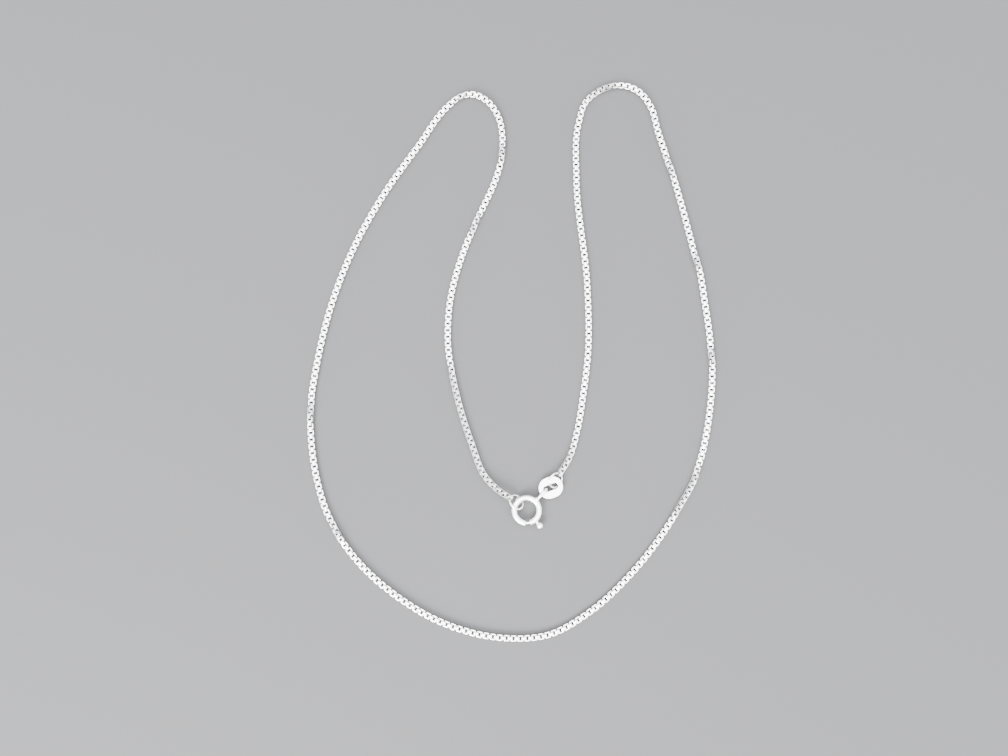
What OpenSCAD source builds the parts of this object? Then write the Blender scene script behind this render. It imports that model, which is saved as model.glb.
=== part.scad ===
// Fine box chain necklace with a spring ring clasp, lying on a surface.
// +X is to the right, +Y away from the front of the neck loop, +Z up.
// The origin is on the surface, under the middle of the necklace.

/* [Loop] */
// Width of the loop that the necklace lies in
loop_w = 80; // [74:1:88]
// Length of that loop, from its front to its two bends
loop_l = 110; // [102:1:121]

/* [Chain] */
// Outer size of a square link
link_size = 1.1; // [1:0.05:1.25]
// Thickness of the strip that a link is bent from
link_strip = 0.19; // [0.17:0.01:0.23]
// Width of that strip, seen edge on
link_width = 0.58; // [0.5:0.02:0.66]
// Radius of a link's outer corners
link_corner = 0.25; // [0.22:0.01:0.4]

/* [Jump rings] */
// Outer diameter of both jump rings
jump_d = 3.3; // [3.2:0.05:3.7]
// Wire that they are bent from
jump_wire = 0.38; // [0.3:0.01:0.42]
// How far the catch ring leans over from lying flat
catch_tilt = 44; // [42:1:52]

/* [Clasp] */
// Outer diameter of the spring ring
clasp_d = 6; // [5.6:0.1:7]
// Diameter of the tube that it is bent from
tube_d = 1.2; // [1:0.05:1.3]
// Wall of that tube
tube_wall = 0.2; // [0.15:0.01:0.25]
// How far the mouth of the tube flares out
lip_flare = 0.12; // [0.05:0.01:0.2]
// Diameter of the bolt that closes the gap
bolt_d = 0.56; // [0.4:0.02:0.6]
// Degrees that the gap spans
gap_angle = 24; // [20:1:36]
// Degrees that the bolt turns to open the gap
bolt_travel = 45; // [40:1:55]
// Diameter of the thumb knob
knob_d = 1.4; // [1:0.05:1.5]
// Diameter of the stem under it
stem_d = 0.55; // [0.4:0.05:0.6]
// How far the knob stands out from the ring, to its middle
knob_reach = 0.85; // [0.85:0.05:1.3]

/* [Eye of the clasp] */
// Height of the soldered wire eye, outside
eye_h = 2.2; // [2.1:0.05:2.25]
// Length of the eye, from the ring to its far end
eye_l = 2.86; // [2.6:0.05:3.3]
// Wire of the eye
eye_wire = 0.6; // [0.5:0.05:0.65]

/* [Tag] */
// Length of the flat oval tag
tag_l = 4.75; // [4.4:0.05:5.5]
// Width of the tag
tag_w = 4.1; // [3.8:0.05:4.4]
// Thickness of the tag
tag_t = 0.4; // [0.3:0.05:0.5]
// Length of the slot through it
slot_l = 3; // [2.8:0.05:3.3]
// Width of the slot
slot_w = 1.15; // [1.05:0.05:1.4]

/* [Hidden] */

// Gaps between pieces that fit in or round each other
fit_gap = 0.1;
// Gap between the catch ring, lying on the surface, and the clasp's tube above it
under_gap = 0.15;
// Gap between a jump ring's wire and the end link that pulls on it
seat_gap = 0.13;
// Gap between the chain and its end links
link_gap = 0.06;

// Width and length of the loop as the route below draws it, and where it draws the clasp
drawn = [80, 110];
drawn_clasp = [2.9, -30.3];
function laid(p) = [p[0] * loop_w / drawn[0], p[1] * loop_l / drawn[1]];

// Where the clasp lies, and where things sit round it, in degrees from +X
clasp_at = laid(drawn_clasp);
mouth_angle = -98;
knob_angle = -49;
eye_angle = 46.5;
catch_angle = 141.5;
catch_ring_axis = 136;
tag_angle = 21;

// Route of the chain, from the clasp round the necklace and back to the tag.
// Each point is [x, y, roll], and the roll turns the square chain about its length.
route = [
    [-2.5, -26.5, 45], [-5, -24, 45], [-7.75, -17.5, 45], [-11.5, -4.5, 45], [-12.25, -0.25, 4],
    [-12.25, 9, 4], [-8.75, 22.25, 4], [-5.75, 29, 94], [-3.5, 34, 94], [-2.5, 37, 94],
    [-1.75, 43.5, 178], [-2.75, 48.25, 170], [-5, 51.25, 160], [-7.75, 52.5, 162],
    [-10.25, 52, 192], [-12.75, 50, 165], [-18.5, 42, 166], [-25.5, 31.75, 166], [-31.25, 21, 166],
    [-35.5, 9.5, 166], [-38.25, -3, 166], [-39, -8.25, 166], [-39, -15.5, 76], [-37.75, -24, 76],
    [-35.5, -31, 76], [-31.75, -37.25, 0], [-22, -46.5, 0], [-12.5, -51.75, 0], [-2.5, -54.25, 0],
    [7, -53.75, 0], [15.25, -49.25, 0], [22.5, -42.75, 0], [30.25, -33, 0], [32.25, -29.75, 31],
    [35.25, -24.5, 31], [36.75, -20.25, 75], [38.5, -12, 75], [39.25, -4, 75], [39, 2.5, 165],
    [38, 11, 165], [37.5, 14.75, 165], [35.75, 22, 255], [33.75, 30.25, 255], [32.75, 34, 255],
    [30.75, 40.5, 345], [29.5, 44.5, 345], [28, 50, 340], [25.75, 53, 340], [23, 54.25, 345],
    [19.5, 54, 385], [15, 51, 427], [13.5, 46.5, 450], [13, 35, 455], [15, 13, 455], [15, 0, 455],
    [14, -8, 455], [12.75, -15, 445], [11, -20.5, 420]
];
// Longest stretch of chain between two rings of its solid, and the most it turns and rolls there
ring_step = 12.5;
ring_turn = 28;
ring_roll = 50;
// Length over which the chain comes down from the height of a jump ring
lift_run = 8;

function dir(a) = [cos(a), sin(a)];
function heading(v) = atan2(v[1], v[0]);
function flat(p) = [p[0], p[1]];

// Jump rings: an angle b round a ring whose axis in the surface is at angle a
jump_r = (jump_d - jump_wire) / 2;
function on_ring(at, a, tilt, b) = at + jump_r * (
    cos(b) * [cos(a), sin(a), 0] +
    sin(b) * [-sin(a) * cos(tilt), cos(a) * cos(tilt), sin(tilt)]);

// Clasp
clasp_r = (clasp_d - tube_d) / 2;
bore_d = tube_d - 2 * tube_wall;
clasp_z = jump_wire + under_gap + tube_d / 2;
gap_end = mouth_angle + gap_angle;
bolt_tip = mouth_angle - 4;
bolt_tail = knob_angle + 34;
knob_r = clasp_d / 2 + knob_reach;
slot_half = asin((stem_d / 2 + fit_gap) / clasp_r);
slot_h = stem_d + fit_gap;

// Eye of the clasp: its mean radius, and where its two round ends have their middles
eye_embed = 0.2;
eye_r = (eye_h - eye_wire) / 2;
eye_far = clasp_d / 2 + eye_l - eye_wire / 2;
eye_near_mid = clasp_d / 2 - eye_embed + eye_wire / 2 + eye_r;
eye_far_mid = eye_far - eye_r;
solder_d = eye_wire + 0.4;

// Catch ring: the clasp's tube passes through it
catch_slack = 0.55;
catch_out = clasp_r + jump_d / 2 - jump_wire - tube_d / 2 - catch_slack;
catch_xy = clasp_at + catch_out * dir(catch_angle);
catch_at = [catch_xy[0], catch_xy[1], jump_wire / 2 + jump_r * sin(catch_tilt)];
left_heading = heading(laid(route[0]) - catch_xy);
left_b = atan(tan(left_heading - catch_ring_axis) / cos(catch_tilt));
left_roll = asin(cos(left_b) * sin(catch_tilt));

// Tag: the far end of the eye passes through its slot, and it rests on the eye's lower wire
tag_slack = 0.3;
tag_xy = clasp_at + eye_far * dir(eye_angle)
    + (slot_l / 2 - eye_wire / 2 - tag_slack) * dir(tag_angle);
tag_z = clasp_z - eye_h / 2 + eye_wire + fit_gap + tag_t / 2;

// Tag ring: it goes round the middle of the tag's band, under its end and over its side
tag_ring_from = 34.5;
tag_ring_axis = tag_angle + 38;
tag_ring_span = 1.14;
tag_ring_tilt = asin((jump_wire + tag_t + 2 * fit_gap) / (tag_ring_span * jump_r));
tag_ring_out = (slot_w / 2 / sin(tag_ring_from) + tag_w / 2
    + (tag_l - tag_w) / 2 * cos(tag_ring_from)) / 2;
tag_ring_xy = tag_xy + tag_ring_out * dir(tag_angle + tag_ring_from);
tag_ring_z = jump_wire / 2 + jump_r * sin(tag_ring_tilt);
tag_ring_at = [tag_ring_xy[0], tag_ring_xy[1], tag_ring_z];
last = route[len(route) - 1];
right_heading = heading(laid(last) - tag_ring_xy);
right_b = atan(tan(right_heading - tag_ring_axis) / cos(tag_ring_tilt));
right_roll = asin(cos(right_b) * sin(tag_ring_tilt));

// End links, each with a jump ring through its window
link_window = link_size - 2 * link_strip;
link_seat = (link_window - jump_wire) / 2 - seat_gap;
left_link_at = on_ring(catch_at, catch_ring_axis, catch_tilt, left_b)
    + link_seat * [cos(left_heading), sin(left_heading), 0];
right_link_at = on_ring(tag_ring_at, tag_ring_axis, tag_ring_tilt, right_b)
    + link_seat * [cos(right_heading), sin(right_heading), 0];

// Ends of the chain's solid, just clear of the end links, as [x, y, roll]
end_out = link_size / 2 + link_gap;
left_xy = flat(left_link_at) + end_out * dir(left_heading);
right_xy = flat(right_link_at) + end_out * dir(right_heading);
right_quarters = round((last[2] + right_roll) / 90);
path = concat(
    [[left_xy[0], left_xy[1], left_roll]],
    [for (p = route) [laid(p)[0], laid(p)[1], p[2]]],
    [[right_xy[0], right_xy[1], 90 * right_quarters - right_roll]]);

// Section of the chain: a square whose corners are cut as far as the links' are rounded
half = link_size / 2;
cut = link_corner * (2 - sqrt(2));
section = [
    [half, half - cut], [half - cut, half], [cut - half, half], [-half, half - cut],
    [-half, cut - half], [cut - half, -half], [half - cut, -half], [half, cut - half]
];

// Height of the chain's middle when it rests on the surface with this roll
function rest_z(roll) =
    let (c = abs(cos(roll)), s = abs(sin(roll)))
    max(half * c + (half - cut) * s, (half - cut) * c + half * s);
function end_lift(p, end, z) =
    (z - rest_z(end[2])) * pow(max(0, 1 - norm(p - flat(end)) / lift_run), 2);

// Smooth curve through the path: each point's direction weighs its two chords
spans = len(path) - 1;
chords = [for (i = [0:spans - 1]) flat(path[i + 1]) - flat(path[i])];
lengths = [for (c = chords) norm(c)];
tangents = [for (i = [0:spans])
    i == 0 ? chords[0] / lengths[0]
    : i == spans ? chords[spans - 1] / lengths[spans - 1]
    : (lengths[i] * chords[i - 1] / lengths[i - 1] + lengths[i - 1] * chords[i] / lengths[i])
        / (lengths[i - 1] + lengths[i])];
function curve_xy(i, t) =
    (2 * pow(t, 3) - 3 * pow(t, 2) + 1) * flat(path[i])
    + (pow(t, 3) - 2 * pow(t, 2) + t) * lengths[i] * tangents[i]
    + (3 * pow(t, 2) - 2 * pow(t, 3)) * flat(path[i + 1])
    + (pow(t, 3) - pow(t, 2)) * lengths[i] * tangents[i + 1];
function curve_dir(i, t) =
    (6 * pow(t, 2) - 6 * t) * (flat(path[i]) - flat(path[i + 1]))
    + lengths[i] * ((3 * pow(t, 2) - 4 * t + 1) * tangents[i]
        + (3 * pow(t, 2) - 2 * t) * tangents[i + 1]);
function curve_roll(i, t) =
    path[i][2] + (3 * pow(t, 2) - 2 * pow(t, 3)) * (path[i + 1][2] - path[i][2]);

// One ring of the chain's solid
function ring(i, t) =
    let (p = curve_xy(i, t),
         a = heading(curve_dir(i, t)),
         roll = curve_roll(i, t),
         z = rest_z(roll)
             + end_lift(p, path[0], left_link_at[2])
             + end_lift(p, path[spans], right_link_at[2]))
    [for (s = section)
        let (side = s[0] * cos(roll) - s[1] * sin(roll),
             up = s[0] * sin(roll) + s[1] * cos(roll))
        [p[0] - side * sin(a), p[1] + side * cos(a), z + up]];
function turn(i) =
    let (u = tangents[i], v = tangents[i + 1])
    abs(atan2(u[0] * v[1] - u[1] * v[0], u * v));
function steps(i) = max(1, ceil(lengths[i] / ring_step), ceil(turn(i) / ring_turn),
    ceil(abs(path[i + 1][2] - path[i][2]) / ring_roll));
rings = concat(
    [for (i = [0:spans - 1]) for (j = [0:steps(i) - 1]) ring(i, j / steps(i))],
    [ring(spans - 1, 1)]);

$fn = 48;

module box_chain() {
    n = len(section);
    color("gainsboro")
    polyhedron(
        points = [for (r = rings) for (p = r) p],
        faces = concat(
            [[for (k = [0:n - 1]) k]],
            [for (i = [0:len(rings) - 2]) for (k = [0:n - 1])
                for (f = [[i * n + k, (i + 1) * n + k, (i + 1) * n + (k + 1) % n],
                          [i * n + k, (i + 1) * n + (k + 1) % n, i * n + (k + 1) % n]]) f],
            [[for (k = [n - 1:-1:0]) (len(rings) - 1) * n + k]]));
}

module rounded_square(size, r) {
    square([size, size - 2 * r], center = true);
    square([size - 2 * r, size], center = true);
    for (x = [-1, 1], y = [-1, 1])
        translate([x, y] * (size / 2 - r))
            circle(r = r);
}

module link(at, a, roll) {
    translate(at)
        rotate([0, 0, a])
            rotate([roll + 90, 0, 0])
                linear_extrude(link_width, center = true)
                    difference() {
                        rounded_square(link_size, link_corner);
                        square(link_window, center = true);
                    }
}

module end_link_left() {
    color("gainsboro")
        link(left_link_at, left_heading, left_roll);
}

module end_link_right() {
    color("gainsboro")
        link(right_link_at, right_heading, right_roll);
}

module jump_ring(at, a, tilt) {
    translate(at)
        rotate([0, 0, a])
            rotate([tilt, 0, 0])
                rotate_extrude()
                    translate([jump_r, 0])
                        circle(d = jump_wire);
}

module catch_ring() {
    color("silver")
        jump_ring(catch_at, catch_ring_axis, catch_tilt);
}

module tag_ring() {
    color("silver")
        jump_ring(tag_ring_at, tag_ring_axis, tag_ring_tilt);
}

// A length of round bar or tube, bent to the clasp's radius
module bent_bar(d, from, to) {
    rotate([0, 0, from])
        rotate_extrude(angle = to - from)
            translate([clasp_r, 0])
                circle(d = d);
}

module eye() {
    for (side = [-1, 1])
        translate([side < 0 ? eye_near_mid : eye_far_mid, 0, 0])
            rotate([90, 0, 0])
                rotate([0, 0, side < 0 ? 90 : -90])
                    rotate_extrude(angle = 180)
                        translate([eye_r, 0])
                            circle(d = eye_wire);
    for (z = [-eye_r, eye_r])
        translate([eye_near_mid, 0, z])
            rotate([0, 90, 0])
                cylinder(h = eye_far_mid - eye_near_mid, d = eye_wire);
    translate([clasp_r + bore_d / 2, 0, 0])
        rotate([0, 90, 0])
            cylinder(h = tube_wall + eye_wire / 2, d = solder_d);
}

module clasp_ring() {
    over = 2;
    color("silver")
    translate([clasp_at[0], clasp_at[1], clasp_z])
        difference() {
            union() {
                bent_bar(tube_d, gap_end, mouth_angle + 360);
                bent_bar(tube_d + 2 * lip_flare, mouth_angle - 5, mouth_angle);
                rotate([0, 0, eye_angle])
                    eye();
            }
            bent_bar(bore_d, gap_end - over, mouth_angle + 360 + over);
            rotate([0, 0, knob_angle - slot_half])
                rotate_extrude(angle = bolt_travel + 2 * slot_half)
                    translate([clasp_r, -slot_h / 2])
                        square([tube_d, slot_h]);
        }
}

module clasp_bolt() {
    color("lightgray")
    translate([clasp_at[0], clasp_at[1], clasp_z]) {
        bent_bar(bolt_d, bolt_tip, bolt_tail);
        rotate([0, 0, knob_angle]) {
            translate([clasp_r, 0, 0])
                rotate([0, 90, 0])
                    cylinder(h = knob_r - clasp_r, d = stem_d);
            translate([knob_r, 0, 0])
                sphere(d = knob_d);
        }
    }
}

module stadium(l, w) {
    square([l - w, w], center = true);
    for (side = [-1, 1])
        translate([side * (l - w) / 2, 0])
            circle(d = w);
}

module tag() {
    color("whitesmoke")
    translate([tag_xy[0], tag_xy[1], tag_z])
        rotate([0, 0, tag_angle])
            linear_extrude(tag_t, center = true)
                difference() {
                    stadium(tag_l, tag_w);
                    stadium(slot_l, slot_w);
                }
}

box_chain();
end_link_left();
end_link_right();
clasp_ring();
clasp_bolt();
catch_ring();
tag();
tag_ring();
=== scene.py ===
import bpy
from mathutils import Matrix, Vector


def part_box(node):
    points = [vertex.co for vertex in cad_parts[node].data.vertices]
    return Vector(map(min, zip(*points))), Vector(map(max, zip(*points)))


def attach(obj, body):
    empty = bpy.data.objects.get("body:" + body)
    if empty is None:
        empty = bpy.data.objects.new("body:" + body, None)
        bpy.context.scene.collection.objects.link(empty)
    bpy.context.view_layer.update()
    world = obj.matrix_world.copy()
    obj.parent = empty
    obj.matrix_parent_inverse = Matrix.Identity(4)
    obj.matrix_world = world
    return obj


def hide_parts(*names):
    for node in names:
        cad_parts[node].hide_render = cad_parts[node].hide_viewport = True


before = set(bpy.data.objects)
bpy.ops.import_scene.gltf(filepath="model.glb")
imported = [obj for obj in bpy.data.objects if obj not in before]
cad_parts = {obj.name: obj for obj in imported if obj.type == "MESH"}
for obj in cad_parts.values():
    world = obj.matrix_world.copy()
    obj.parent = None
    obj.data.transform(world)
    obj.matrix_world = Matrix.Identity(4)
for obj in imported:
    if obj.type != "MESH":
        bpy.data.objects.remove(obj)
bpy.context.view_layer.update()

import math
from functools import partial

import bmesh
import bpy
import numpy as np
from mathutils import Vector

# --- Box chain ---
# About 680 square links of flat silver strip, each bent round and soldered shut through the last,
# and turned a quarter about the chain from its neighbours. The two end ones hold the jump rings.
link_size = 0.0011
link_strip = 0.00019
link_width = 0.00058
link_corner = 0.00025
link_pitch = 0.000655
link_looseness = math.radians(1)
# The way that the chain lies on the surface: x and y, and how far it has rolled over, in degrees
chain_route = [
    (-0.0025, -0.0265, 45), (-0.005, -0.024, 45), (-0.00775, -0.0175, 45), (-0.0115, -0.0045, 45),
    (-0.01225, -0.00025, 4), (-0.01225, 0.009, 4), (-0.00875, 0.02225, 4), (-0.00575, 0.029, 94),
    (-0.0035, 0.034, 94), (-0.0025, 0.037, 94), (-0.00175, 0.0435, 178), (-0.00275, 0.04825, 170),
    (-0.005, 0.05125, 160), (-0.00775, 0.0525, 162), (-0.01025, 0.052, 192), (-0.01275, 0.05, 165),
    (-0.0185, 0.042, 166), (-0.0255, 0.03175, 166), (-0.03125, 0.021, 166), (-0.0355, 0.0095, 166),
    (-0.03825, -0.003, 166), (-0.039, -0.00825, 166), (-0.039, -0.0155, 76), (-0.03775, -0.024, 76),
    (-0.0355, -0.031, 76), (-0.03175, -0.03725, 0), (-0.022, -0.0465, 0), (-0.0125, -0.05175, 0),
    (-0.0025, -0.05425, 0), (0.007, -0.05375, 0), (0.01525, -0.04925, 0), (0.0225, -0.04275, 0),
    (0.03025, -0.033, 0), (0.03225, -0.02975, 31), (0.03525, -0.0245, 31), (0.03675, -0.02025, 75),
    (0.0385, -0.012, 75), (0.03925, -0.004, 75), (0.039, 0.0025, 165), (0.038, 0.011, 165),
    (0.0375, 0.01475, 165), (0.03575, 0.022, 255), (0.03375, 0.03025, 255), (0.03275, 0.034, 255),
    (0.03075, 0.0405, 345), (0.0295, 0.0445, 345), (0.028, 0.05, 340), (0.02575, 0.053, 340),
    (0.023, 0.05425, 345), (0.0195, 0.054, 385), (0.015, 0.051, 427), (0.0135, 0.0465, 450),
    (0.013, 0.035, 455), (0.015, 0.013, 455), (0.015, 0.0, 455), (0.014, -0.008, 455),
    (0.01275, -0.015, 445), (0.011, -0.0205, 420),
]
# The rolls of the two end links: the first, and the last, where the chain has rolled over once
catch_roll = 42.1
tag_roll = 360 + 53.9
# Each end is level for two links at its jump ring's height, and comes down to the surface beyond them
level_run = 0.0013
lift_run = 0.0073
# Each end link is pulled this far along the chain onto its jump ring's wire, so that the next link in
# clears the wire, and the line starts to curve this far beyond the end link
end_pull = 0.00006
end_clear = 0.00006
# About the distance between two points of the line
line_step = 0.0002
# Painted shade is gone at the second of these shares of a link's half size and full at the first: on the
# strip's faces, and on its cut edges, which stand clear of the next link and stay unshaded further down
face_shade_span = (0.86, 0.97)
edge_shade_span = (0.5, 0.72)


def rest_height(roll):
    """Height of the chain's middle when it lies on the surface, rolled by this many radians."""
    half = link_size / 2
    flat = half - link_corner * (2 - math.sqrt(2))
    c, s = abs(math.cos(roll)), abs(math.sin(roll))
    return max(half * c + flat * s, flat * c + half * s)


def link_middle(node):
    low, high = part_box(node)
    return np.array((low + high) / 2)


def step_towards(start, goal, distance):
    along = np.array(goal) - start
    return along / np.linalg.norm(along) * distance


def chain_line():
    """Close points along the chain's middle, and its roll at each, from one end link to the other."""
    first, last = link_middle("end_link_left"), link_middle("end_link_right")
    for end, inner in ((first, chain_route[0]), (last, chain_route[-1])):
        end[:2] += step_towards(end[:2], inner[:2], end_pull)
    rows = np.array([(*first[:2], catch_roll), *chain_route, (*last[:2], tag_roll)])
    for at, inner in ((0, 1), (-1, -2)):
        rows[at, :2] += step_towards(rows[at, :2], rows[inner, :2], link_size / 2 + end_clear)
    xy, roll = rows[:, :2], np.radians(rows[:, 2])
    chord = xy[1:] - xy[:-1]
    length = np.linalg.norm(chord, axis=1)
    unit = chord / length[:, None]
    # The curve's direction at each point weighs its two chords, the shorter one more
    before, after = length[:-1, None], length[1:, None]
    way = np.vstack([unit[0], (after * unit[:-1] + before * unit[1:]) / (after + before), unit[-1]])
    points = [(*first[:2], roll[0])]
    for i, span in enumerate(length):
        for t in np.linspace(0, 1, int(span / line_step) + 2)[:-1]:
            p = ((2 * t**3 - 3 * t**2 + 1) * xy[i] + (t**3 - 2 * t**2 + t) * span * way[i]
                 + (3 * t**2 - 2 * t**3) * xy[i + 1] + (t**3 - t**2) * span * way[i + 1])
            points.append((*p, roll[i] + t * (roll[i + 1] - roll[i])))
    points += [(*xy[-1], roll[-1]), (*last[:2], roll[-1])]
    line = []
    for x, y, turn in points:
        z = rest_height(turn)
        for end, angle in ((first, roll[0]), (last, roll[-1])):
            beyond = max(0, math.dist((x, y), end[:2]) - level_run)
            z += (end[2] - rest_height(angle)) * max(0, 1 - beyond / lift_run) ** 2
        line.append((x, y, z))
    return line, [p[2] for p in points]


def tree_input(tree, name, kind, value=None):
    socket = tree.interface.new_socket(name=name, in_out="INPUT", socket_type=kind)
    if value is not None:
        socket.default_value = value


def feed(tree, socket, value):
    """Sets a socket to a number, or links it from another socket."""
    if isinstance(value, (int, float)):
        socket.default_value = value
    else:
        tree.links.new(value, socket)


def add_maths(tree, kind, a, b=0):
    n = tree.nodes.new("ShaderNodeMath")
    n.operation = kind
    feed(tree, n.inputs[0], a)
    feed(tree, n.inputs[1], b)
    return n.outputs[0]


def add_range(tree, value, low, high, to_low, to_high, easing="LINEAR"):
    """Takes a value from the range low to high to another range, and holds it at the ends."""
    n = tree.nodes.new("ShaderNodeMapRange")
    n.interpolation_type = easing
    tree.links.new(value, n.inputs["Value"])
    for name, number in (("From Min", low), ("From Max", high), ("To Min", to_low), ("To Max", to_high)):
        n.inputs[name].default_value = number
    return n.outputs["Result"]


def link_nodes():
    """Geometry nodes: square links at even steps along a line, each a quarter turn on from the last."""
    tree = bpy.data.node_groups.new("box chain links", "GeometryNodeTree")
    tree_input(tree, "Line", "NodeSocketGeometry")
    tree_input(tree, "Links", "NodeSocketInt")
    for name in ("Link size", "Strip thickness", "Strip width", "Corner radius", "Looseness"):
        tree_input(tree, name, "NodeSocketFloat")
    tree_input(tree, "Finish", "NodeSocketMaterial")
    tree.interface.new_socket(name="Chain", in_out="OUTPUT", socket_type="NodeSocketGeometry")
    node = tree.nodes.new
    link = tree.links.new
    maths = partial(add_maths, tree)
    given = node("NodeGroupInput").outputs

    # One link: a strip section swept round a square with rounded corners
    square = node("GeometryNodeCurvePrimitiveQuadrilateral")
    middle = maths("SUBTRACT", given["Link size"], given["Strip thickness"])
    link(middle, square.inputs["Width"])
    link(middle, square.inputs["Height"])
    round_off = node("GeometryNodeFilletCurve")
    round_off.mode = "POLY"
    round_off.inputs["Count"].default_value = 3
    link(square.outputs[0], round_off.inputs["Curve"])
    half_strip = maths("MULTIPLY", given["Strip thickness"], 0.5)
    link(maths("SUBTRACT", given["Corner radius"], half_strip), round_off.inputs["Radius"])
    # The section has six sides, with its two long edges slightly rounded by the rolls: in the middle
    # they stand out by half this share of the strip's half width
    edge_round = 0.2
    ring = node("GeometryNodeCurvePrimitiveCircle")
    ring.inputs["Resolution"].default_value = 6
    ring.inputs["Radius"].default_value = 1
    place = node("GeometryNodeInputPosition")
    split = node("ShaderNodeSeparateXYZ")
    link(place.outputs[0], split.inputs[0])
    sign = maths("SIGN", split.outputs["X"])
    rounding = maths("MULTIPLY", maths("ABSOLUTE", split.outputs["X"]), edge_round)
    reach = maths("ADD", rounding, 1 - edge_round)
    half_width = maths("MULTIPLY", given["Strip width"], 0.5)
    across = maths("MULTIPLY", maths("MULTIPLY", sign, reach), half_width)
    through = maths("MULTIPLY", maths("DIVIDE", split.outputs["Y"], math.sin(math.pi / 3)), half_strip)
    join = node("ShaderNodeCombineXYZ")
    link(through, join.inputs["X"])
    link(across, join.inputs["Y"])
    shape = node("GeometryNodeSetPosition")
    link(ring.outputs[0], shape.inputs["Geometry"])
    link(join.outputs[0], shape.inputs["Position"])
    sweep = node("GeometryNodeCurveToMesh")
    link(round_off.outputs[0], sweep.inputs["Curve"])
    link(shape.outputs[0], sweep.inputs["Profile Curve"])
    stand = node("GeometryNodeTransform")
    stand.inputs["Rotation"].default_value = (math.pi / 2, 0, 0)
    link(sweep.outputs[0], stand.inputs["Geometry"])
    # Painted shade for the chain's recesses, by how deep in the chain each point lies: 0 on its four
    # outer faces, 1 further in.
    # A face whose normal leans along the chain by more than this is one of the strip's cut edges.
    least_lean = 0.4
    apart = node("ShaderNodeSeparateXYZ")
    link(place.outputs[0], apart.inputs[0])
    half_size = maths("MULTIPLY", given["Link size"], 0.5)
    share = maths("DIVIDE", maths("ABSOLUTE", apart.outputs["Z"]), half_size)
    facing = node("ShaderNodeSeparateXYZ")
    link(node("GeometryNodeInputNormal").outputs[0], facing.inputs[0])
    whole_face = node("GeometryNodeFieldOnDomain")
    whole_face.domain = "FACE"
    link(maths("GREATER_THAN", maths("ABSOLUTE", facing.outputs["Y"]), least_lean), whole_face.inputs[0])
    on_edge = whole_face.outputs[0]
    on_face = maths("SUBTRACT", 1, on_edge)
    painted_shade_on_faces = maths("MULTIPLY", add_range(tree, share, *face_shade_span, 1, 0), on_face)
    painted_shade_on_edges = maths("MULTIPLY", add_range(tree, share, *edge_shade_span, 1, 0), on_edge)
    # The amount of painted shade is kept on the mesh, for the silver finish to darken by
    keep = node("GeometryNodeStoreNamedAttribute")
    keep.data_type = "FLOAT"
    keep.domain = "CORNER"
    keep.inputs["Name"].default_value = "painted_shade"
    link(stand.outputs[0], keep.inputs["Geometry"])
    link(maths("ADD", painted_shade_on_faces, painted_shade_on_edges), keep.inputs["Value"])

    # Even steps along the line, each facing along it with its roll
    to_curve = node("GeometryNodeMeshToCurve")
    link(given["Line"], to_curve.inputs[0])
    steps = node("GeometryNodeResampleCurve")
    link(to_curve.outputs[0], steps.inputs["Curve"])
    link(given["Links"], steps.inputs["Count"])
    tangent = node("GeometryNodeInputTangent")
    face = node("FunctionNodeAxesToRotation")
    face.primary_axis = "X"
    face.secondary_axis = "Z"
    face.inputs["Secondary Axis"].default_value = (0, 0, 1)
    link(tangent.outputs[0], face.inputs["Primary Axis"])
    rolled = node("GeometryNodeInputNamedAttribute")
    rolled.data_type = "FLOAT"
    rolled.inputs["Name"].default_value = "roll"
    index = node("GeometryNodeInputIndex")
    quarter = maths("MULTIPLY", maths("MODULO", index.outputs[0], 2), math.pi / 2)
    turn = node("FunctionNodeAxisAngleToRotation")
    turn.inputs["Axis"].default_value = (1, 0, 0)
    link(maths("ADD", rolled.outputs["Attribute"], quarter), turn.inputs["Angle"])
    about = node("FunctionNodeRotateRotation")
    about.rotation_space = "LOCAL"
    link(face.outputs[0], about.inputs["Rotation"])
    link(turn.outputs[0], about.inputs["Rotate By"])
    # Each link hangs out of true in its neighbours, by up to the looseness about each axis
    loose = node("FunctionNodeRandomValue")
    loose.data_type = "FLOAT_VECTOR"
    loose.inputs["Min"].default_value = (-1, -1, -1)
    loose.inputs["Max"].default_value = (1, 1, 1)
    loose.inputs["Seed"].default_value = 5
    scaled = node("ShaderNodeVectorMath")
    scaled.operation = "SCALE"
    link(loose.outputs[0], scaled.inputs[0])
    link(given["Looseness"], scaled.inputs["Scale"])
    tilt = node("FunctionNodeRotateRotation")
    tilt.rotation_space = "LOCAL"
    link(about.outputs[0], tilt.inputs["Rotation"])
    link(scaled.outputs[0], tilt.inputs["Rotate By"])
    copies = node("GeometryNodeInstanceOnPoints")
    link(steps.outputs[0], copies.inputs["Points"])
    link(keep.outputs[0], copies.inputs["Instance"])
    link(tilt.outputs[0], copies.inputs["Rotation"])
    real = node("GeometryNodeRealizeInstances")
    link(copies.outputs[0], real.inputs[0])
    coat = node("GeometryNodeSetMaterial")
    link(real.outputs[0], coat.inputs["Geometry"])
    link(given["Finish"], coat.inputs["Material"])
    link(coat.outputs[0], node("NodeGroupOutput").inputs["Chain"])
    return tree


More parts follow.
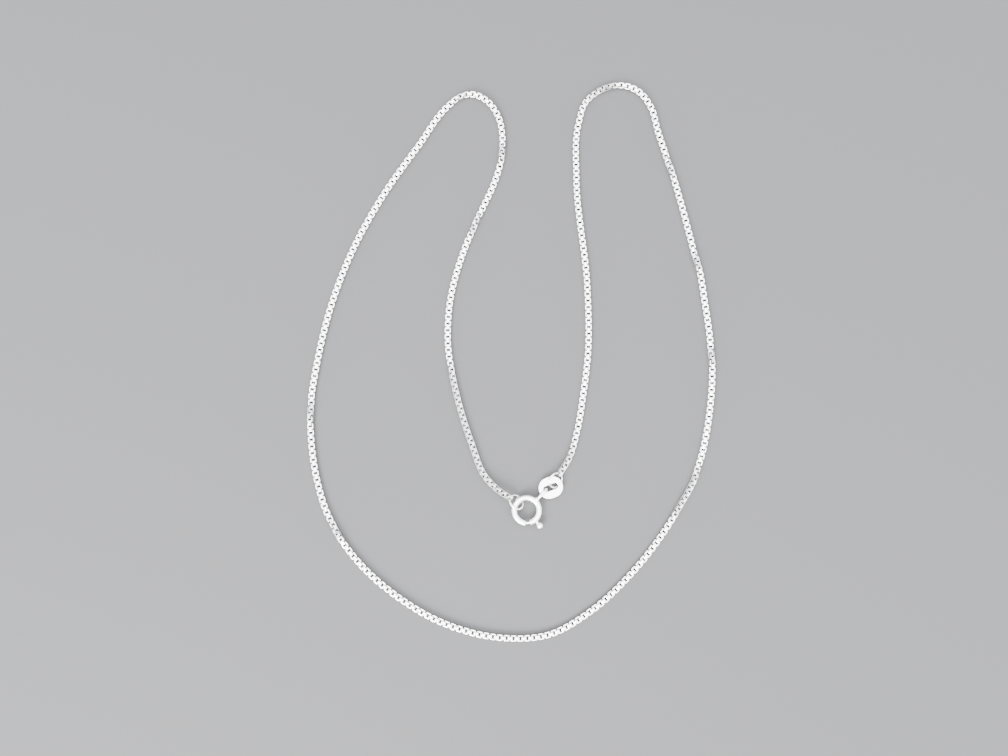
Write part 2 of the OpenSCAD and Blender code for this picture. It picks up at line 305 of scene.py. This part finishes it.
def handled_silver():
    """Shader group: what handling leaves on polished silver, and painted shade in its crevices, as a
    colour, a roughness and a height.
    """
    group = bpy.data.node_groups.new("handled silver and painted shade", "ShaderNodeTree")
    for name, value in (("Grain per metre", 2500.0), ("Polish", 0.1), ("Wear", 0.15),
                        ("Tarnish", 0.1), ("Painted shade amount", 0.0)):
        tree_input(group, name, "NodeSocketFloat", value)
    tree_input(group, "Bright", "NodeSocketColor", (0.95, 0.94, 0.92, 1))
    tree_input(group, "Dull", "NodeSocketColor", (0.62, 0.58, 0.52, 1))
    # The near-black colour of the painted shade in crevices
    tree_input(group, "Painted shade colour", "NodeSocketColor", (0.035, 0.032, 0.031, 1))
    for name, kind in (("Colour", "NodeSocketColor"), ("Roughness", "NodeSocketFloat"),
                       ("Height", "NodeSocketFloat")):
        group.interface.new_socket(name=name, in_out="OUTPUT", socket_type=kind)
    node = group.nodes.new
    link = group.links.new
    maths = partial(add_maths, group)
    given = node("NodeGroupInput").outputs
    out = node("NodeGroupOutput").inputs
    where = node("ShaderNodeTexCoord").outputs["Object"]

    def noise(scale, detail, vector=where):
        n = node("ShaderNodeTexNoise")
        n.inputs["Detail"].default_value = detail
        link(vector, n.inputs["Vector"])
        feed(group, n.inputs["Scale"], scale)
        return n.outputs["Fac"]

    # Hairline scratches run three ways; each is the peaks of a noise stretched into lines
    stretch = 14
    scratch_peaks = (0.6, 0.75)
    lines = None
    for angles in ((0.3, 0.2, 0.4), (0.9, -0.6, 2.1), (-0.5, 1.1, 1.2)):
        slant = node("ShaderNodeMapping")
        slant.inputs["Rotation"].default_value = angles
        slant.inputs["Scale"].default_value = (1, stretch, stretch)
        link(where, slant.inputs["Vector"])
        grain = noise(given["Grain per metre"], 2, slant.outputs[0])
        one = add_range(group, grain, *scratch_peaks, 0, 1)
        lines = one if lines is None else maths("MAXIMUM", lines, one)
    # Tarnish lies in clouds about a millimetre wide, and handling leaves shallow dents half as wide,
    # less deep than the scratches
    clouds_per_metre, cloud_edges = 900, (0.35, 0.7)
    dents_per_metre, dent_depth = 1800, 0.4
    cloud = add_range(group, noise(clouds_per_metre, 4), *cloud_edges, 0, 1)
    dents = maths("MULTIPLY", noise(dents_per_metre, 3), dent_depth)
    stain = maths("MULTIPLY", cloud, given["Tarnish"])
    # Tarnish clouds dull the colour, then painted shade darkens it by the given amount
    colour = given["Bright"]
    for amount, tone in ((stain, "Dull"), (given["Painted shade amount"], "Painted shade colour")):
        mix = node("ShaderNodeMix")
        mix.data_type = "RGBA"
        link(amount, mix.inputs["Factor"])
        link(colour, mix.inputs["A"])
        link(given[tone], mix.inputs["B"])
        colour = mix.outputs["Result"]
    link(colour, out["Colour"])
    # Clouds are worn half as much as scratches, and what is dark is rougher too
    cloud_wear, dark_roughness = 0.5, 0.25
    dark = maths("MINIMUM", maths("ADD", stain, given["Painted shade amount"]), 1)
    worn = maths("ADD", lines, maths("MULTIPLY", cloud, cloud_wear))
    scuffed = maths("MULTIPLY", worn, given["Wear"])
    rough = maths("ADD", maths("ADD", given["Polish"], scuffed), maths("MULTIPLY", dark, dark_roughness))
    link(rough, out["Roughness"])
    link(maths("SUBTRACT", dents, lines), out["Height"])
    return group


silver_wear_and_shade = handled_silver()
# How deep the scratches are, how strongly they show, and how dark the painted shade in the deepest
# crevice gets
scratch_depth = 0.000004
scratch_strength = 0.25
most_dark = 0.95


def silver(name, polish, wear, tarnish, grain=2500.0, shade_attribute=None):
    """A silver finish. With a shade attribute, painted shade darkens it where the mesh's attribute of
    that name is high.
    """
    material = bpy.data.materials.new(name)
    material.use_nodes = True
    nodes, link = material.node_tree.nodes, material.node_tree.links.new
    shader = nodes["Principled BSDF"]
    shader.inputs["Metallic"].default_value = 1
    group = nodes.new("ShaderNodeGroup")
    group.node_tree = silver_wear_and_shade
    for socket, value in (("Polish", polish), ("Wear", wear), ("Tarnish", tarnish),
                          ("Grain per metre", grain)):
        group.inputs[socket].default_value = value
    if shade_attribute:
        attribute = nodes.new("ShaderNodeAttribute")
        attribute.attribute_name = shade_attribute
        amount = add_maths(material.node_tree, "MULTIPLY", attribute.outputs["Fac"], most_dark)
        link(amount, group.inputs["Painted shade amount"])
    height = nodes.new("ShaderNodeBump")
    height.inputs["Strength"].default_value = scratch_strength
    height.inputs["Distance"].default_value = scratch_depth
    link(group.outputs["Height"], height.inputs["Height"])
    link(group.outputs["Colour"], shader.inputs["Base Color"])
    link(group.outputs["Roughness"], shader.inputs["Roughness"])
    link(height.outputs["Normal"], shader.inputs["Normal"])
    return material


def make_object(name, mesh):
    piece = bpy.data.objects.new(name, mesh)
    bpy.context.scene.collection.objects.link(piece)
    return piece


def shade(mesh, smooth_below):
    """Smooth shading, with a crisp edge wherever faces meet at more than this many degrees."""
    mesh.shade_smooth()
    mesh.set_sharp_from_angle(angle=math.radians(smooth_below))


def made_mesh(maker):
    """The mesh that an object's modifiers make. The object itself is taken away."""
    graph = bpy.context.evaluated_depsgraph_get()
    mesh = bpy.data.meshes.new_from_object(maker.evaluated_get(graph))
    bpy.data.objects.remove(maker)
    return mesh


line, rolls = chain_line()
wire = bpy.data.meshes.new("chain line")
wire.from_pydata(line, [(i, i + 1) for i in range(len(line) - 1)], [])
wire.attributes.new("roll", "FLOAT", "POINT").data.foreach_set("value", rolls)
maker = make_object("chain maker", wire)
tree = link_nodes()
# An even number of links, so that the last one is set a quarter turn on from the first
run = sum(math.dist(a, b) for a, b in zip(line, line[1:]))
links = 2 * round((run / link_pitch + 1) / 2)
grow = maker.modifiers.new("links", "NODES")
grow.node_group = tree
given = {
    "Links": links, "Link size": link_size, "Strip thickness": link_strip, "Strip width": link_width,
    "Corner radius": link_corner, "Looseness": link_looseness,
    "Finish": silver("polished silver strip", 0.2, 0.14, 0.1, shade_attribute="painted_shade"),
}
for socket in tree.interface.items_tree:
    if socket.in_out == "INPUT" and socket.name in given:
        grow[socket.identifier] = given[socket.name]
link_mesh = made_mesh(maker)
shade(link_mesh, 38)
chain = make_object("chain_links", link_mesh)
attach(chain, "necklace")
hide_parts("box_chain", "end_link_left", "end_link_right")

# --- Spring ring clasp ---
# A ring of silver tube, with a gap that the bolt closes and a slot in its outer wall for the knob's stem.
# The tube's mouth is flared where it takes the bolt's tip, and an eye of wire is soldered to its side.
clasp_middle = (0.0029, -0.0303, 0.00113)
clasp_radius = 0.0024
tube_radius = 0.0006
tube_wall = 0.0002
tube_edge = 0.00003
mouth = math.radians(262)
gap_end = math.radians(-74)
# The mouth's lip stands out by this much over this many radians, and the rim at the gap's other side
lip_flare, lip_run = 0.00012, 0.14
rim_flare, rim_run = 0.00002, 0.03
knob_angle = math.radians(-49)
bolt_travel = math.radians(45)
stem_radius = 0.000275
# The room that the slot leaves the stem, at each end of its travel and at each side
slot_end_play, slot_side_play = 0.0001, 0.00005
slot_half = math.asin((stem_radius + slot_end_play) / clasp_radius)
slot_angle = math.asin((stem_radius + slot_side_play) / tube_radius)


def polar(radius, angle, height=0.0):
    """A point at this radius, angle and height from the clasp's middle."""
    x, y, z = clasp_middle
    return (x + radius * math.cos(angle), y + radius * math.sin(angle), z + height)


def skin(rows, closed_along=False, cap=False, leave_out=None):
    """The points and faces of a skin over rows of points that each go once round a piece."""
    rings, sides = len(rows), len(rows[0])
    points = [p for row in rows for p in row]
    faces = []
    for i in range(rings if closed_along else rings - 1):
        for k in range(sides):
            if leave_out and leave_out(i, k):
                continue
            a, b = (i + 1) % rings, (k + 1) % sides
            faces.append((i * sides + k, a * sides + k, a * sides + b, i * sides + b))
    if cap:
        faces += [tuple(range(sides)), tuple((rings - 1) * sides + k for k in range(sides))]
    return points, faces


def tube_rows(path, radii, sides):
    """Round sections along a path of points, each set square to the path."""
    path = np.array(path)
    ways = np.gradient(path, axis=0)
    ways /= np.linalg.norm(ways, axis=1)[:, None]
    side = np.cross(ways[0], (0, 0, 1) if abs(ways[0][2]) < 0.9 else (1, 0, 0))
    rows = []
    for p, way, r in zip(path, ways, radii):
        side = side - way * side.dot(way)
        side /= np.linalg.norm(side)
        up = np.cross(way, side)
        rows.append([tuple(p + r * (math.cos(a) * side + math.sin(a) * up))
                     for a in np.linspace(0, 2 * math.pi, sides, endpoint=False)])
    return rows


def turned_rows(profile, angle, sides):
    """Round sections of a piece that points straight out of the clasp, from a list of (out, radius)."""
    return tube_rows([polar(out, angle) for out, _ in profile], [radius for _, radius in profile], sides)


def add_parts(name, parts, smooth_below=38):
    """One outward-facing mesh from several skins."""
    build = bmesh.new()
    for points, faces in parts:
        made = [build.verts.new(p) for p in points]
        for face in faces:
            build.faces.new([made[i] for i in face])
    bmesh.ops.remove_doubles(build, verts=build.verts, dist=1e-8)
    bmesh.ops.recalc_face_normals(build, faces=build.faces)
    mesh = bpy.data.meshes.new(name)
    build.to_mesh(mesh)
    build.free()
    shade(mesh, smooth_below)
    return mesh


def ease(t):
    t = min(max(t, 0), 1)
    return t * t * (3 - 2 * t)


# The tube's outer skin, given its wall below; grid lines run along the edges of the slot
slot_from, slot_to = knob_angle - slot_half, knob_angle + bolt_travel + slot_half
lip_start = mouth - lip_run
turns = np.unique(np.round(np.concatenate([
    np.linspace(gap_end, slot_from, 3), np.linspace(slot_from, slot_to, 24),
    np.linspace(slot_to, lip_start, 64), np.linspace(lip_start, mouth, 9),
]), 9))
slot_sides = 6
rounds = np.concatenate([
    np.linspace(-slot_angle, slot_angle, slot_sides + 1)[:-1],
    np.linspace(slot_angle, 2 * math.pi - slot_angle, 34)[:-1],
])
rows = []
for turn in turns:
    lip = lip_flare * ease((turn - lip_start) / lip_run) ** 2
    rim = rim_flare * (1 - ease((turn - gap_end) / rim_run))
    radius = tube_radius + (lip + rim)
    rows.append([polar(clasp_radius + radius * math.cos(a), turn, radius * math.sin(a)) for a in rounds])


def in_slot(i, k):
    return k < slot_sides and slot_from < (turns[i] + turns[i + 1]) / 2 < slot_to


shell = make_object("tube", add_parts("tube", [skin(rows, leave_out=in_slot)], 60))
thick = shell.modifiers.new("wall", "SOLIDIFY")
thick.thickness = tube_wall
thick.offset = -1
soft_edge = shell.modifiers.new("edges", "BEVEL")
soft_edge.width = tube_edge
soft_edge.segments = 2
soft_edge.limit_method = "ANGLE"
soft_edge.angle_limit = math.radians(50)
tube = made_mesh(shell)

# The eye is a long loop of wire that stands on edge, with a half turn at its near and its far end
eye_angle = math.radians(46.5)
eye_wire = 0.0003
eye_radius = 0.0008
eye_near, eye_far = 0.0039, 0.00476
half_turn = np.linspace(0, math.pi, 25)
loop = [(eye_near - eye_radius * math.sin(a), eye_radius * math.cos(a)) for a in half_turn]
loop += [(eye_far + eye_radius * math.sin(a), -eye_radius * math.cos(a)) for a in half_turn]
eye_path = [polar(out, eye_angle, z) for out, z in loop + loop[:1]]
eye_rows = tube_rows(eye_path, [eye_wire] * len(eye_path), 24)
# The solder between eye and tube, wide on the tube and drawn in round the wire
weld = [(0.00265, 0.00058), (0.0029, 0.00057), (0.00302, 0.00053), (0.00312, 0.00045),
        (0.00322, 0.00038), (0.00332, 0.0003), (0.00338, 0.0002), (0.0034, 0.00006)]
weld_rows = turned_rows(weld, eye_angle, 24)
eye = add_parts("eye", [skin(eye_rows[:-1], closed_along=True), skin(weld_rows, cap=True)])

clasp_silver = silver("polished silver wire and tube", 0.15, 0.16, 0.08, shade_attribute="painted_shade")
join = bmesh.new()
for mesh in (tube, eye):
    join.from_mesh(mesh)
both = bpy.data.meshes.new("clasp ring")
join.to_mesh(both)
join.free()
shade(both, 45)
both.materials.append(clasp_silver)
# Painted shade darkens the tube's bore: all that lies more than 0.6 of the wall deep
bore_radius = tube_radius - 0.6 * tube_wall
bore_shade = [1.0 if math.hypot(math.dist(v.co[:2], clasp_middle[:2]) - clasp_radius, v.co[2] - clasp_middle[2])
        < bore_radius else 0.0 for v in both.vertices]
both.attributes.new("painted_shade", "FLOAT", "POINT").data.foreach_set("value", bore_shade)
clasp = make_object("clasp_tube_and_eye", both)
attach(clasp, "necklace")
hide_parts("clasp_ring")

# --- Bolt of the clasp ---
# A bent wire that slides round inside the tube against a hidden spring. Its rounded tip closes the gap,
# and a stem through the slot carries the ball that the thumbnail pulls back.
bolt_radius = 0.00028
bolt_tip, bolt_tail = math.radians(-102), math.radians(-15)
# Each end is rounded over this many radians, down to a blunt face of this share of the bolt's radius
bolt_end_run, bolt_blunt = 0.09, 0.25
stem_neck = 0.000195
knob_radius = 0.0007
knob_out = 0.00385


def rounded_end(from_end):
    """Share of the bolt's radius, which may be over 1, at this many radians from one of its ends."""
    return math.sqrt(max(0, 1 - (1 - min(1, from_end / bolt_end_run)) ** 2)) + bolt_blunt


bolt_turns = np.linspace(bolt_tip, bolt_tail, 46)
arc = [polar(clasp_radius, a) for a in bolt_turns]
ends = [min(1, rounded_end(a - bolt_tip), rounded_end(bolt_tail - a)) for a in bolt_turns]
bolt_rows = tube_rows(arc, [bolt_radius * e for e in ends], 20)
# Stem and ball are turned in one piece, slim inside the slot and with a small fillet where they meet
ball = [(clasp_radius, stem_neck), (0.00302, stem_neck), (0.00305, stem_radius),
        (0.00311, stem_radius * 1.04), (0.00319, stem_radius * 1.25)]
ball_start = math.asin(stem_radius * 1.35 / knob_radius)
ball += [(knob_out - knob_radius * math.cos(a), knob_radius * math.sin(a))
         for a in np.linspace(ball_start, math.pi - 0.04, 26)]
ball_rows = turned_rows(ball, knob_angle, 32)
mesh = add_parts("bolt", [skin(bolt_rows, cap=True), skin(ball_rows, cap=True)])
mesh.materials.append(clasp_silver)
bolt = make_object("clasp_bolt_and_knob", mesh)
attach(bolt, "bolt")
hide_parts("clasp_bolt")

# --- Jump rings ---
# Two rings of drawn wire, each cut from a coil, closed round its neighbours and soldered.
# The cut shows as a fine line with a low seam of solder. One takes the clasp and one the tag.
jump_radius = 0.00146
jump_wire = 0.00018
# Round the seam, the wire is thicker by this share over this many radians to each side, and at the
# cut itself it's thinner
solder_swell, solder_run = 0.05, 0.16
cut_depth, cut_run = 0.16, 0.035


def jump_ring(name, node, axis_angle, tilt, seam_at):
    """A ring that leans by the tilt from lying flat, about an axis at this angle in the surface."""
    low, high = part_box(node)
    middle = np.array((low + high) / 2)
    u = np.array((math.cos(axis_angle), math.sin(axis_angle), 0))
    v = np.array((-math.sin(axis_angle) * math.cos(tilt), math.cos(axis_angle) * math.cos(tilt),
                  math.sin(tilt)))
    w = np.cross(u, v)
    rows = []
    for b in np.linspace(0, 2 * math.pi, 120, endpoint=False):
        off = abs((b - seam_at + math.pi) % (2 * math.pi) - math.pi)
        wire = jump_wire * (1 + solder_swell * ease(1 - off / solder_run)
                            - cut_depth * ease(1 - off / cut_run))
        out = u * math.cos(b) + v * math.sin(b)
        rows.append([tuple(middle + out * (jump_radius + wire * math.cos(a)) + w * wire * math.sin(a))
                     for a in np.linspace(0, 2 * math.pi, 20, endpoint=False)])
    mesh = add_parts(name, [skin(rows, closed_along=True)], 60)
    mesh.materials.append(clasp_silver)
    piece = make_object(name, mesh)
    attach(piece, "necklace")
    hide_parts(node)


jump_ring("jump_ring_at_clasp", "catch_ring", math.radians(136), math.radians(44), 2.2)
jump_ring("jump_ring_at_tag", "tag_ring", math.radians(59), math.radians(36.07), 1.9)

# --- Tag ---
# An oval plate stamped from silver sheet, with an oval slot that the eye and a jump ring pass through.
# Its edges are tumbled round, and its face is left bare.
tag_length, tag_width, tag_thick = 0.00475, 0.0041, 0.0004
slot_length, slot_width = 0.003, 0.00115
tag_turn = math.radians(21)
tag_edge = 0.00009


def oval(length, width):
    """Points round an oval of two straight sides and two half rounds; two sizes match by direction."""
    shift = (length - width) / 2
    points = []
    for a in np.linspace(0, 2 * math.pi, 96, endpoint=False):
        c, s = math.cos(a), math.sin(a)
        points.append((math.copysign(shift, c) * min(1, abs(c) * 4) + width / 2 * c, width / 2 * s))
    return points


low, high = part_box("tag")
tag_middle = (low + high) / 2
# The top half of the plate's section, from its slot to its outer edge. Each point has its part, its
# place there (a distance from that part's own edge, or a share of the way across) and its height.
half_thick = tag_thick / 2
quarter_turn = np.linspace(0, math.pi / 2, 5)
section = [("inner", tag_edge * (1 - math.cos(a)), half_thick - tag_edge * (1 - math.sin(a)))
           for a in quarter_turn]
section += [("between", t, half_thick) for t in (0.3, 0.5, 0.7)]
section += [("outer", tag_edge * (1 - math.sin(a)), half_thick - tag_edge * (1 - math.cos(a)))
            for a in quarter_turn]
c, s = math.cos(tag_turn), math.sin(tag_turn)
rows = []
for (ix, iy), (ox, oy) in zip(oval(slot_length, slot_width), oval(tag_length, tag_width)):
    band = math.dist((ix, iy), (ox, oy))
    top = []
    for part, amount, z in section:
        t = amount / band if part == "inner" else 1 - amount / band if part == "outer" else amount
        top.append((ix + (ox - ix) * t, iy + (oy - iy) * t, z))
    ring = top + [(x, y, -z) for x, y, z in reversed(top)]
    rows.append([(tag_middle[0] + x * c - y * s, tag_middle[1] + x * s + y * c, tag_middle[2] + z)
                 for x, y, z in ring])
mesh = add_parts("tag", [skin(rows, closed_along=True)], 60)
mesh.materials.append(silver("stamped silver plate", 0.18, 0.2, 0.1, grain=2000.0))
plate = make_object("oval_tag", mesh)
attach(plate, "necklace")
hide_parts("tag")

# --- Surface, light and camera ---
# The necklace lies on a plain pale board under wide soft lamps, seen from almost straight above.
half_board = 0.6
board = bpy.data.meshes.new("board")
board.from_pydata([(-half_board, -half_board, 0), (half_board, -half_board, 0),
                   (half_board, half_board, 0), (-half_board, half_board, 0)], [], [(0, 1, 2, 3)])
paper = bpy.data.materials.new("pale board")
paper.use_nodes = True
paper_shader = paper.node_tree.nodes["Principled BSDF"]
paper_shader.inputs["Base Color"].default_value = (0.056, 0.056, 0.058, 1)
paper_shader.inputs["Roughness"].default_value = 0.9
board.materials.append(paper)
floor = make_object("board", board)


def soft_lamp(name, place, side, power, aim=(0, 0, 0)):
    lamp = bpy.data.lights.new(name, "AREA")
    lamp.size = side
    lamp.energy = power
    holder = make_object(name, lamp)
    holder.location = place
    holder.rotation_euler = (Vector(aim) - Vector(place)).to_track_quat("-Z", "Y").to_euler()


soft_lamp("wide lamp overhead", (0, -0.1, 0.5), 1.0, 26.0, aim=(0, -0.1, 0))
soft_lamp("lamp at the front", (-0.2, -0.4, 0.33), 0.25, 14.0)

# The room is dimmer low down, where silver shows it as dark rims, but for a wide window at either side
sky = bpy.data.worlds.new("soft room light")
sky.use_nodes = True
sky_tree = sky.node_tree
backdrop = sky_tree.nodes["Background"]
backdrop.inputs["Color"].default_value = (0.95, 0.97, 1, 1)
way = sky_tree.nodes.new("ShaderNodeSeparateXYZ")
sky_tree.links.new(sky_tree.nodes.new("ShaderNodeTexCoord").outputs["Generated"], way.inputs[0])
height = way.outputs["Z"]
sky_maths = partial(add_maths, sky_tree)
fade = partial(add_range, sky_tree, easing="SMOOTHSTEP")
room = fade(height, 0.0, 0.5, 1.6, 3.0)
sideways = fade(sky_maths("ABSOLUTE", way.outputs["X"]), 0.45, 0.8, 0.0, 1.0)
windows = sky_maths("MULTIPLY", sideways, fade(height, 0.2, 0.5, 5.0, 0.0))
sky_tree.links.new(sky_maths("ADD", room, windows), backdrop.inputs["Strength"])
bpy.context.scene.world = sky

lens = bpy.data.cameras.new("photograph")
lens.lens = 27.04
lens.sensor_width = 36
lens.clip_start = 0.001
camera = make_object("photograph", lens)
camera.location = (-0.001455, -0.01636, 0.14814)
camera.rotation_euler = (math.radians(4.5), 0, 0)
bpy.context.scene.camera = camera
